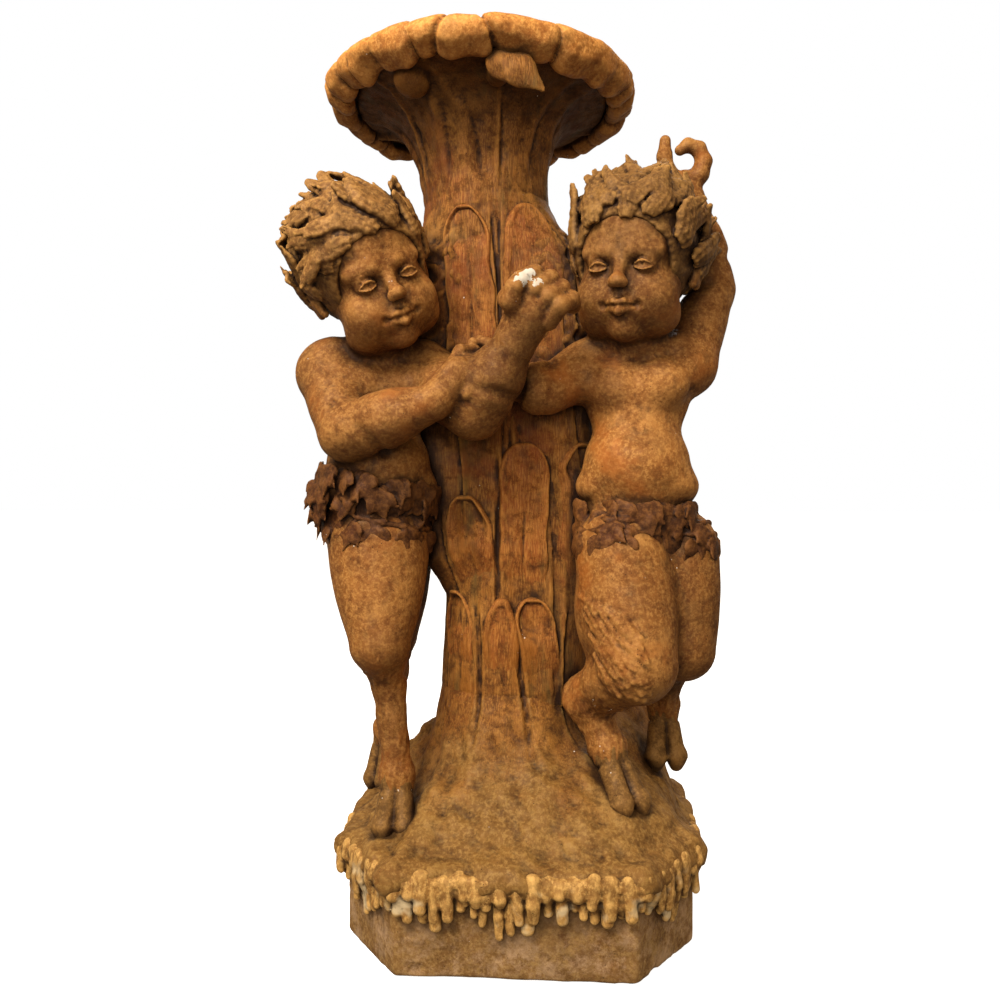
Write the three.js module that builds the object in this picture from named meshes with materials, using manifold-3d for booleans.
// Terracotta figure group: two faun children beside a palm trunk that carries a leafy crown.
// The trunk stands on a rocky mound over a chamfered plinth with a fringe of drips.
// Millimetres, +Z up, -Y is the front. The origin is the middle of the whole group, at the underside.
// Every section is the piece that would be pressed or modelled on its own and luted to its neighbours.
import * as THREE from "three";
import { mergeVertices } from "three/addons/utils/BufferGeometryUtils.js";
import Module from "manifold-3d";

const wasm = await Module();
wasm.setup();

// ---------- Driving dimensions ----------
const SEAM = 0.4; // open joint between luted sections
const LEAN = -0.051; // sideways shift of the trunk for each millimetre of height
const WALL = 32; // pressed clay wall

const PLINTH = { half: 217, chamferX: 78, chamferY: 108, height: 98 };
const FRINGE = { top: 132, bandBottom: 96, thickness: 15, dripPitch: 30, dripRadius: 10, dripLowest: 56 };
const MOUND = { foot: PLINTH.height + SEAM, edge: 124, top: 300, tiltPerMm: 0.12 };
const ROCK = { x: 150, y: 92, height: 90, spread: 76 }; // boulder at the back right
const BANK = { x: -150, y: 34, height: 40, spread: 50 }; // raised ground behind the clasping faun
const TRUNK = { join: 620, top: 950, radius: 80, footRadius: 94, bore: 52, sides: 24 };
const CROWN = { top: 1104, radius: 172, seatRadius: 116, seatDepth: 20, floor: 24 };
const CROWN_LEAF = { count: 7, width: 176, thickness: 30 };
// Middle of a crown leaf from its hanging tip to its root on the rim, as [radius, z].
const LEAF_PATH = [[191, 1064], [201, 1078], [199, 1092], [178, 1102], [150, 1104]];
const CROWN_LEAF_RADIUS = 200;
const SHEATH = { thickness: 12, gap: 0.9 };

const LIMB_FULLNESS = 1.07;

const CLAY = { roughness: 0.86, metalness: 0 };
const COLOURS = {
  plinth: 0x8d7354,
  mound: 0x7d5c3a,
  fringe: 0x96795a,
  trunk: 0x6f4526,
  leaf: 0x7a5030,
  crown: 0xa8703f,
  skin: 0x8a5a33,
  hair: 0x75513a,
  hoof: 0x7a5a3c,
  girdle: 0x6b4128,
};

// ---------- Solids ----------
function solidOf(geometry) {
  const bare = geometry.clone();
  bare.deleteAttribute("normal");
  bare.deleteAttribute("uv");
  const merged = mergeVertices(bare, 1e-3);
  return new wasm.Manifold(
    new wasm.Mesh({
      numProp: 3,
      vertProperties: new Float32Array(merged.attributes.position.array),
      triVerts: new Uint32Array(merged.index.array),
    }),
  );
}

function geometryOf(solid) {
  const mesh = solid.getMesh();
  const positions = new Float32Array(mesh.numVert * 3);
  for (let i = 0; i < mesh.numVert; i++) {
    positions.set(mesh.vertProperties.subarray(i * mesh.numProp, i * mesh.numProp + 3), i * 3);
  }
  const geometry = new THREE.BufferGeometry();
  geometry.setAttribute("position", new THREE.BufferAttribute(positions, 3));
  geometry.setIndex(new THREE.BufferAttribute(new Uint32Array(mesh.triVerts), 1));
  geometry.computeVertexNormals();
  return geometry;
}

function largestBody(solid) {
  return solid.decompose().reduce((best, body) => (body.volume() > best.volume() ? body : best));
}

const union = (solids) => solids.reduce((whole, next) => whole.add(next));

// Moves every vertex of a geometry: move(vector) changes the vector in place.
function reshape(geometry, move) {
  const position = geometry.attributes.position;
  const v = new THREE.Vector3();
  for (let i = 0; i < position.count; i++) {
    v.fromBufferAttribute(position, i);
    move(v);
    position.setXYZ(i, v.x, v.y, v.z);
  }
  return geometry;
}

// A solid of revolution about +Z, leaning with the trunk. The profile is [radius, z] pairs.
function leaningLathe(profile, sides) {
  const points = profile.map(([r, z]) => new THREE.Vector2(r, z));
  const geometry = new THREE.LatheGeometry(points, sides);
  geometry.rotateX(Math.PI / 2);
  return reshape(geometry, (v) => {
    v.x += LEAN * v.z;
  });
}

function ellipsoid(centre, radii, grow = 0, turn = new THREE.Euler(), sides = 11) {
  const geometry = new THREE.SphereGeometry(1, sides, Math.round(sides * 0.6));
  geometry.scale(radii[0] + grow, radii[1] + grow, radii[2] + grow);
  geometry.applyMatrix4(new THREE.Matrix4().makeRotationFromEuler(turn));
  geometry.translate(...centre);
  return solidOf(geometry);
}

// A limb with round ends, from a to b, with a radius at each end and a slightly fuller middle.
function limb(a, b, radiusA, radiusB, grow = 0) {
  const from = new THREE.Vector3(...a);
  const along = new THREE.Vector3(...b).sub(from);
  const length = along.length();
  const ends = 3;
  const profile = [];
  for (let i = 0; i <= ends; i++) {
    const t = (i / ends) * (Math.PI / 2);
    const r = radiusA + grow;
    profile.push(new THREE.Vector2(r * Math.sin(t), -r * Math.cos(t)));
  }
  profile.push(new THREE.Vector2(((radiusA + radiusB) / 2) * LIMB_FULLNESS + grow, length * 0.45));
  for (let i = 0; i <= ends; i++) {
    const t = (i / ends) * (Math.PI / 2);
    const r = radiusB + grow;
    profile.push(new THREE.Vector2(r * Math.cos(t), length + r * Math.sin(t)));
  }
  profile[0].x = 0;
  profile[profile.length - 1].x = 0;
  const geometry = new THREE.LatheGeometry(profile, 9);
  const turn = new THREE.Quaternion().setFromUnitVectors(new THREE.Vector3(0, 1, 0), along.normalize());
  geometry.applyQuaternion(turn);
  geometry.translate(from.x, from.y, from.z);
  return solidOf(geometry);
}

// ---------- Plinth, mound and fringe ----------
function plinthOutline(offset) {
  const { half, chamferX, chamferY } = PLINTH;
  const h = half + offset;
  const outline = new THREE.Shape();
  outline.moveTo(h - chamferX, -h);
  outline.lineTo(h, -h + chamferY);
  outline.lineTo(h, h - chamferY);
  outline.lineTo(h - chamferX, h);
  outline.lineTo(-h + chamferX, h);
  outline.lineTo(-h, h - chamferY);
  outline.lineTo(-h, -h + chamferY);
  outline.lineTo(-h + chamferX, -h);
  outline.closePath();
  return outline;
}

function slab(outline, bottom, top) {
  const geometry = new THREE.ExtrudeGeometry(outline, { depth: top - bottom, bevelEnabled: false });
  geometry.translate(0, 0, bottom);
  return solidOf(geometry);
}

function plinth() {
  const block = slab(plinthOutline(0), 0, PLINTH.height);
  return block.subtract(slab(plinthOutline(-WALL), -10, PLINTH.height + 10));
}

// Distance from the middle to the plinth's outline in direction angle.
function outlineRadius(angle) {
  const { half, chamferX, chamferY } = PLINTH;
  const c = Math.abs(Math.cos(angle));
  const s = Math.abs(Math.sin(angle));
  const chamfer = half * chamferY + half * chamferX - chamferX * chamferY;
  return Math.min(half / c, half / s, chamfer / (c * chamferY + s * chamferX));
}

// How much the ground at (x, y) rises above the regular mound: it tilts and carries two heaps.
function groundLift(x, y, z) {
  const slope = THREE.MathUtils.smoothstep(z, MOUND.edge, MOUND.edge + 26);
  const fall = slope * (1 - THREE.MathUtils.smoothstep(z, 200, MOUND.top));
  const heap = (pile) => pile.height * Math.exp(-Math.pow(Math.hypot(x - pile.x, y - pile.y) / pile.spread, 2));
  return fall * (MOUND.tiltPerMm * Math.max(x, -90) + heap(ROCK) + heap(BANK));
}

// The mound's outer form, offset outwards by grow, from a foot at bottom. Each row is [share of the outline, z].
function moundBody(grow, bottom) {
  const rise = [
    [0, bottom],
    [0.985, bottom],
    [0.99, MOUND.edge - 8],
    [0.96, MOUND.edge + 6],
    [0.88, 146],
    [0.76, 172],
    [0.62, 206],
    [0.5, 246],
    [0.43, MOUND.top],
    [0, MOUND.top],
  ];
  const geometry = new THREE.LatheGeometry(rise.map(([share, z]) => new THREE.Vector2(share, z)), 28);
  geometry.rotateX(Math.PI / 2);
  reshape(geometry, (v) => {
    const share = Math.hypot(v.x, v.y);
    const angle = Math.atan2(v.y, v.x);
    const square = THREE.MathUtils.smoothstep(share, 0.45, 0.95);
    const wide = THREE.MathUtils.lerp(PLINTH.half, outlineRadius(angle), square);
    const r = share > 0 ? share * wide + grow : 0;
    const lean = LEAN * v.z * THREE.MathUtils.smoothstep(v.z, MOUND.edge, MOUND.top);
    v.x = r * Math.cos(angle);
    v.y = r * Math.sin(angle);
    if (v.z > bottom) v.z += groundLift(v.x, v.y, v.z) + Math.max(grow, 0);
    v.x += lean;
  });
  return solidOf(geometry);
}

// A clay shell that is open underneath and runs up into the trunk's bore.
function mound(grow = 0) {
  const outside = moundBody(grow, MOUND.foot);
  if (grow > 0) return outside;
  const top = MOUND.top + 10;
  const bore = solidOf(leaningLathe([[0, 220], [TRUNK.bore, 220], [TRUNK.bore, top], [0, top]], TRUNK.sides));
  return outside.subtract(moundBody(-WALL, MOUND.foot - 5)).subtract(bore);
}

// One side of the fringe: a band round a quarter of the edge with a row of drips under it.
function fringe(quarter) {
  const { top, bandBottom, thickness, dripPitch, dripRadius, dripLowest } = FRINGE;
  const ring = slab(plinthOutline(thickness), bandBottom, top)
    .subtract(slab(plinthOutline(SEAM), bandBottom - 5, top + 5));
  const reach = PLINTH.half * 2;
  const wedge = new THREE.Shape();
  wedge.moveTo(0, 0);
  wedge.lineTo(reach, -reach + SEAM);
  wedge.lineTo(reach, reach - SEAM);
  wedge.closePath();
  const cutter = slab(wedge, 0, top * 2).rotate([0, 0, quarter * 90]);
  const drips = [];
  for (let along = -6; along <= 6; along++) {
    const middle = (quarter * Math.PI) / 2;
    const angle = middle + Math.atan2(along * dripPitch, PLINTH.half);
    const r = outlineRadius(angle) + SEAM + dripRadius;
    if (Math.abs(angle - middle) > Math.PI / 4 - 0.06) continue;
    const length = 20 + 16 * Math.abs(Math.sin(along * 2.3 + quarter));
    const low = Math.max(dripLowest, bandBottom + 2 - length);
    const drip = new THREE.CylinderGeometry(dripRadius * 0.8, dripRadius * 0.55, bandBottom + 6 - low, 5);
    drip.rotateX(Math.PI / 2);
    drip.translate(r * Math.cos(angle), r * Math.sin(angle), (bandBottom + 6 + low) / 2);
    drips.push(solidOf(drip));
  }
  const clear = slab(plinthOutline(SEAM), 0, top + 5);
  return union([ring.intersect(cutter), ...drips]).subtract(clear);
}

// ---------- Trunk and crown ----------
function trunkRadius(z) {
  const foot = TRUNK.footRadius - TRUNK.radius;
  const flare = THREE.MathUtils.smoothstep(TRUNK.top - z, 0, 120);
  return TRUNK.radius + foot * Math.exp(-(z - MOUND.top) / 60) + 6 * (1 - flare);
}

function trunkSection(bottom, top, grow = 0) {
  const steps = 2;
  const outer = Array.from({ length: steps + 1 }, (_, i) => {
    const z = THREE.MathUtils.lerp(bottom - grow, top + grow, i / steps);
    return [trunkRadius(z) + grow, z];
  });
  const inner = TRUNK.bore - grow;
  const profile = [...outer, [inner, top + grow], [inner, bottom - grow], outer[0]];
  return solidOf(leaningLathe(profile, TRUNK.sides));
}

function crownCup(grow = 0) {
  const { top, radius, seatRadius, seatDepth, floor } = CROWN;
  const bottom = TRUNK.top + SEAM - grow;
  const seat = top - seatDepth;
  const profile = [
    [0, seat - floor],
    [TRUNK.bore, seat - floor],
    [TRUNK.bore, bottom],
    [trunkRadius(TRUNK.top) + grow, bottom],
    [89 + grow, 1000],
    [101 + grow, 1038],
    [117 + grow, 1060],
    [142 + grow, 1076 - grow],
    [radius + grow, 1084 - grow],
    [radius + grow, 1094],
    [seatRadius + 20, top - 6 + grow],
    [seatRadius, seat],
    [0, seat],
  ];
  return solidOf(leaningLathe(profile, TRUNK.sides));
}

// Point and outward normal on the middle of a crown leaf, s from 0 at the tip to 1 at the root.
function alongLeaf(s) {
  const last = LEAF_PATH.length - 1;
  const i = Math.min(last - 1, Math.floor(s * last));
  const [r0, z0] = LEAF_PATH[i];
  const [r1, z1] = LEAF_PATH[i + 1];
  const t = s * last - i;
  const length = Math.hypot(r1 - r0, z1 - z0);
  return { r: r0 + (r1 - r0) * t, z: z0 + (z1 - z0) * t, nr: (z1 - z0) / length, nz: -(r1 - r0) / length };
}

// A thick palm leaf that folds over the crown's rim, its round tip hanging outside.
function crownLeaf(index) {
  const { count, width, thickness } = CROWN_LEAF;
  const angle = (index / count) * Math.PI * 2 + 0.32;
  const geometry = new THREE.BoxGeometry(2, 1, 1, 4, 1, 5);
  reshape(geometry, (v) => {
    const s = v.z + 0.5;
    const across = v.x;
    const tipWidth = 1 - 0.5 * Math.pow(1 - s, 2.2);
    const { r, z, nr, nz } = alongLeaf(s);
    const edge = 1 - 0.45 * across * across;
    const offset = v.y * thickness * edge;
    const turn = angle - (across * tipWidth * width) / 2 / CROWN_LEAF_RADIUS;
    const sag = 16 * (1 - s) * (1 - across * across);
    const radius = r + offset * nr;
    const height = z + offset * nz - sag;
    v.set(radius * Math.cos(turn) + LEAN * height, radius * Math.sin(turn), height);
  });
  return solidOf(geometry);
}

// A tongue-shaped leaf sheath laid against the trunk, with a round tip.
function sheath({ angle, bottom, top, halfAngle }) {
  const geometry = new THREE.BoxGeometry(2, 1, 1, 3, 1, 5);
  reshape(geometry, (v) => {
    const up = 1 - Math.pow(0.5 - v.z, 1.7); // closer rows towards the round tip
    const z = THREE.MathUtils.lerp(bottom, top, up);
    const tip = Math.sqrt(Math.max(0.06, 1 - Math.pow(THREE.MathUtils.clamp((up - 0.78) / 0.22, 0, 1), 2) * 0.82));
    const turn = angle - v.x * halfAngle * tip;
    const bulge = v.y > 0 ? SHEATH.thickness * (0.75 + 0.45 * up) * (1 - 0.3 * v.x * v.x) : 0;
    const r = trunkRadius(z) + SHEATH.gap + bulge;
    v.set(r * Math.cos(turn) + LEAN * z, r * Math.sin(turn), z);
  });
  return solidOf(geometry);
}

// Sheaths overlap like tiles in three rows, each [middle angle, bottom, top, half angle].
const SHEATHS = [
  [-2.3, 312, 432, 0.3],
  [-1.68, 312, 424, 0.3],
  [-1.06, 312, 424, 0.3],
  [1.57, 312, 470, 0.42],
  [-1.98, 436, 556, 0.36],
  [-1.24, 430, 624, 0.36],
  [-0.5, 430, 624, 0.36],
  [2.6, 480, 616, 0.42],
  [-1.78, 632, 932, 0.38],
  [-1.0, 632, 936, 0.38],
  [0.5, 632, 900, 0.5],
  [2.1, 632, 920, 0.5],
].map(([angle, bottom, top, halfAngle]) => ({ angle, bottom, top, halfAngle }));

// ---------- Fauns ----------
// Joint centres in millimetres. "right" and "left" are the faun's own.
const CLASPING_FAUN = {
  name: "clasping_faun",
  head: { centre: [-186, -126, 838], turn: [0.2, 0.42, 0.45] },
  neck: { from: [-178, -86, 728], to: [-182, -106, 790], radius: 36 },
  torso: [
    [-176, -76, 474, 0, 0],
    [-176, -76, 484, 52, 46],
    [-173, -78, 522, 73, 66],
    [-177, -84, 576, 75, 72],
    [-184, -84, 632, 72, 64],
    [-188, -84, 686, 82, 66],
    [-190, -84, 726, 76, 56],
    [-188, -84, 756, 44, 36],
    [-188, -84, 762, 0, 0],
  ],
  rightArm: { shoulder: [-252, -98, 708], elbow: [-206, -166, 622], wrist: [-92, -196, 664], radii: [40, 34, 21] },
  rightHand: { from: [-88, -196, 670], to: [-62, -184, 702], radius: 22, thumb: [-78, -212, 704] },
  leftArm: { shoulder: [-122, -84, 722], elbow: [-42, -170, 652], wrist: [9, -196, 744], radii: [33, 38, 26] },
  leftHand: { from: [20, -200, 770], to: [42, -202, 786], radius: 33, thumb: [8, -226, 798] },
  rightLeg: {
    hip: [-182, -84, 492], knee: [-172, -128, 362], hock: [-157, -104, 240], fetlock: [-153, -110, 192],
    hoof: [-152, -146, 146], radii: [66, 40, 22, 20],
  },
  leftLeg: {
    hip: [-168, -22, 496], knee: [-190, 46, 352], hock: [-198, 84, 240], fetlock: [-204, 78, 190],
    hoof: [-210, 64, 138], radii: [52, 36, 20, 19],
  },
  girdle: { centre: [-172, -78, 552], radii: [83, 80, 44] },
};

const REACHING_FAUN = {
  name: "reaching_faun",
  head: { centre: [146, -122, 842], turn: [0.12, -0.36, -0.07] },
  neck: { from: [150, -86, 728], to: [149, -104, 790], radius: 36 },
  torso: [
    [162, -86, 474, 0, 0],
    [162, -86, 484, 54, 46],
    [160, -86, 522, 78, 68],
    [156, -94, 576, 81, 74],
    [150, -90, 632, 76, 66],
    [144, -84, 686, 85, 66],
    [142, -84, 726, 78, 56],
    [144, -84, 756, 44, 36],
    [144, -84, 762, 0, 0],
  ],
  rightArm: { shoulder: [80, -92, 730], elbow: [16, -128, 680], wrist: [-22, -126, 700], radii: [33, 27, 20] },
  rightHand: { from: [-34, -120, 712], to: [-46, -112, 734], radius: 17, thumb: [-52, -120, 722] },
  leftArm: { shoulder: [208, -72, 738], elbow: [250, -50, 836], wrist: [221, -50, 944], radii: [34, 29, 20] },
  leftHand: { from: [216, -50, 972], to: [218, -50, 1006], radius: 20, thumb: [188, -52, 1006] },
  rightLeg: {
    hip: [124, -102, 486], knee: [144, -158, 338], hock: [96, -92, 300], fetlock: [118, -106, 230],
    hoof: [146, -142, 180], radii: [58, 50, 30, 21],
  },
  leftLeg: {
    hip: [200, -82, 484], knee: [204, -100, 350], hock: [204, -12, 318], fetlock: [194, 12, 262],
    hoof: [196, -6, 198], radii: [46, 41, 26, 20],
  },
  girdle: { centre: [160, -86, 530], radii: [86, 82, 38] },
};

const HEAD = { radii: [70, 80, 90], noseOut: 77, chinDrop: 68 };

const GIRDLE_LEAVES = 9;

// Thick tufts round the brow, the crown and the sides of a head: [x, y, z] from its middle, and tilt.
const HAIR_TUFTS = [
  [-74, -22, 10, -0.5], [-66, -44, 50, -0.9], [-30, -58, 78, -1.3], [14, -60, 82, 1.4], [52, -50, 62, 0.9],
  [76, -26, 20, 0.5], [-52, 20, 76, -0.8], [48, 24, 78, 0.8], [-80, 30, -14, -0.2], [80, 30, -10, 0.2],
];

const faceTurn = ([pitch, yaw, roll]) => new THREE.Euler(pitch, -roll, yaw, "ZYX");

function head(faun, grow = 0) {
  const turn = faceTurn(faun.head.turn);
  const centre = new THREE.Vector3(...faun.head.centre);
  const at = (x, y, z) => new THREE.Vector3(x, y, z).applyEuler(turn).add(centre).toArray();
  return union([
    ellipsoid(centre.toArray(), HEAD.radii, grow, turn),
    ellipsoid(at(0, -HEAD.noseOut, -14), [9, 12, 14], grow, turn, 7),
    ellipsoid(at(0, -30, -HEAD.chinDrop), [44, 38, 30], grow, turn, 9),
    limb(faun.neck.from, faun.neck.to, faun.neck.radius, faun.neck.radius, grow),
  ]);
}

// A cap over the skull with a crest of thick curls round the brow and the sides.
function hair(faun) {
  const turn = faceTurn(faun.head.turn);
  const centre = new THREE.Vector3(...faun.head.centre);
  const at = (x, y, z) => new THREE.Vector3(x, y, z).applyEuler(turn).add(centre).toArray();
  const cap = ellipsoid(at(0, 14, 16), [82, 86, 84], 0, turn);
  const brow = ellipsoid(at(0, -84, -36), [72, 66, 82], 0, turn);
  const nape = ellipsoid(at(0, 0, -98), [96, 96, 46], 0, turn);
  const curls = HAIR_TUFTS.map(([x, y, z, tilt]) => (
    ellipsoid(at(x, y, z), [21, 24, 34], 0, new THREE.Euler(0, tilt, 0), 7)
  ));
  return union([cap.subtract(brow).subtract(nape), ...curls]);
}

// A body lofted through horizontal ellipses, each [x, y, z, half width, half depth], lowest first.
function torso(faun, grow = 0) {
  const rings = faun.torso;
  const profile = rings.map((_, i) => new THREE.Vector2(i === 0 || i === rings.length - 1 ? 0 : 1, i));
  const geometry = new THREE.LatheGeometry(profile, 14);
  reshape(geometry, (v) => {
    const last = rings.length - 1;
    const i = Math.round(v.y);
    const [x, y, z, halfWidth, halfDepth] = rings[i];
    const rise = i === 0 ? -grow : i === last ? grow : 0;
    v.set(x + v.x * (halfWidth + grow), y - v.z * (halfDepth + grow), z + rise);
  });
  return solidOf(geometry);
}

function girdle(faun) {
  const { centre, radii } = faun.girdle;
  const band = ellipsoid(centre, radii);
  const leaves = Array.from({ length: GIRDLE_LEAVES }, (_, i) => {
    const angle = (i / GIRDLE_LEAVES) * Math.PI * 2;
    const x = centre[0] + radii[0] * 0.86 * Math.cos(angle);
    const y = centre[1] + radii[1] * 0.86 * Math.sin(angle);
    return ellipsoid([x, y, centre[2] - 14], [19, 19, 27], 0, new THREE.Euler(), 6);
  });
  return union([band, ...leaves]);
}

// A palm with its fingers as one block and a separate thumb.
function hand({ from, to, radius, thumb }, grow = 0) {
  const palm = limb(from, to, radius, radius * 0.9, grow);
  return union([palm, limb(from, thumb, radius * 0.45, radius * 0.42, grow)]);
}

function shank({ knee, hock, fetlock, radii }, grow = 0) {
  return union([
    limb(knee, hock, radii[1] * 0.86, radii[2], grow),
    limb(hock, fetlock, radii[2], radii[3], grow),
  ]);
}

// A cloven hoof: two toes side by side below the fetlock.
function hoof({ fetlock, hoof: toe, radii }, grow = 0) {
  const root = [fetlock[0], fetlock[1] - 4, fetlock[2] - 14];
  const spread = radii[3] * 0.62;
  const toes = [-1, 1].map((side) => (
    limb(root, [toe[0] + side * spread, toe[1], toe[2]], radii[3], radii[3] * 0.8, grow)
  ));
  return union(toes);
}

function faunPieces(faun) {
  const side = (label, arm, palm, leg) => [
    [`${label}_upper_arm`, (g) => limb(arm.shoulder, arm.elbow, arm.radii[0], arm.radii[1], g), "skin"],
    [`${label}_forearm`, (g) => limb(arm.elbow, arm.wrist, arm.radii[1] * 0.98, arm.radii[2], g), "skin"],
    [`${label}_hand`, (g) => hand(palm, g), "skin"],
    [`${label}_thigh`, (g) => limb(leg.hip, leg.knee, leg.radii[0], leg.radii[1], g), "skin"],
    [`${label}_shank`, (g) => shank(leg, g), "skin"],
    [`${label}_hoof`, (g) => hoof(leg, g), "hoof"],
  ];
  const pieces = [
    ["torso", (g) => torso(faun, g), "skin"],
    ["head", (g) => head(faun, g), "skin"],
    ...side("right", faun.rightArm, faun.rightHand, faun.rightLeg),
    ...side("left", faun.leftArm, faun.leftHand, faun.leftLeg),
    ["leaf_girdle", () => girdle(faun), "girdle"],
    ["hair", () => hair(faun), "hair"],
  ];
  return pieces.map(([name, shape, colour]) => ({ name: `${faun.name}_${name}`, shape, colour }));
}

// ---------- Assembly ----------
// A later piece gives way to every earlier one, so the open seam lies in the later piece.
function allPieces() {
  const sides = ["right", "back", "left", "front"];
  const numbered = (name, list, shape) => list.map((item, i) => (
    { name: `${name}_${i + 1}`, shape: () => shape(item, i), colour: name === "crown_leaf" ? "crown" : "leaf" }
  ));
  return [
    { name: "plinth", shape: plinth, colour: "plinth", fixed: true },
    { name: "rock_mound", shape: mound, colour: "mound", fixed: true },
    ...sides.map((side, i) => (
      { name: `drip_fringe_${side}`, shape: () => fringe(i), colour: "fringe", fixed: true }
    )),
    { name: "trunk_lower", shape: (g) => trunkSection(MOUND.top + SEAM, TRUNK.join, g), colour: "trunk", fixed: true },
    { name: "trunk_upper", shape: (g) => trunkSection(TRUNK.join + SEAM, TRUNK.top, g), colour: "trunk", fixed: true },
    { name: "crown_cup", shape: crownCup, colour: "crown", fixed: true },
    ...faunPieces(CLASPING_FAUN),
    ...faunPieces(REACHING_FAUN),
    ...numbered("leaf_sheath", SHEATHS, sheath),
    ...numbered("crown_leaf", Array.from({ length: CROWN_LEAF.count }), (_, i) => crownLeaf(i)),
  ];
}

function overlaps(a, b) {
  const [p, q] = [a.boundingBox(), b.boundingBox()];
  return [0, 1, 2].every((k) => p.min[k] <= q.max[k] && q.min[k] <= p.max[k]);
}

function assemble(pieces) {
  const group = new THREE.Group();
  group.name = "faun_and_palm_pedestal";
  const cutters = [];
  for (const { name, shape, colour, fixed } of pieces) {
    let solid = shape(0);
    if (!fixed) {
      for (const cutter of cutters) {
        if (overlaps(solid, cutter)) solid = solid.subtract(cutter);
      }
    }
    cutters.push(shape(SEAM));
    const material = new THREE.MeshStandardMaterial({ color: COLOURS[colour], ...CLAY });
    const mesh = new THREE.Mesh(geometryOf(largestBody(solid)), material);
    mesh.name = name;
    group.add(mesh);
  }
  const middle = new THREE.Box3().setFromObject(group).getCenter(new THREE.Vector3());
  group.position.set(-middle.x, -middle.y, 0);
  return group;
}

export default assemble(allPieces());
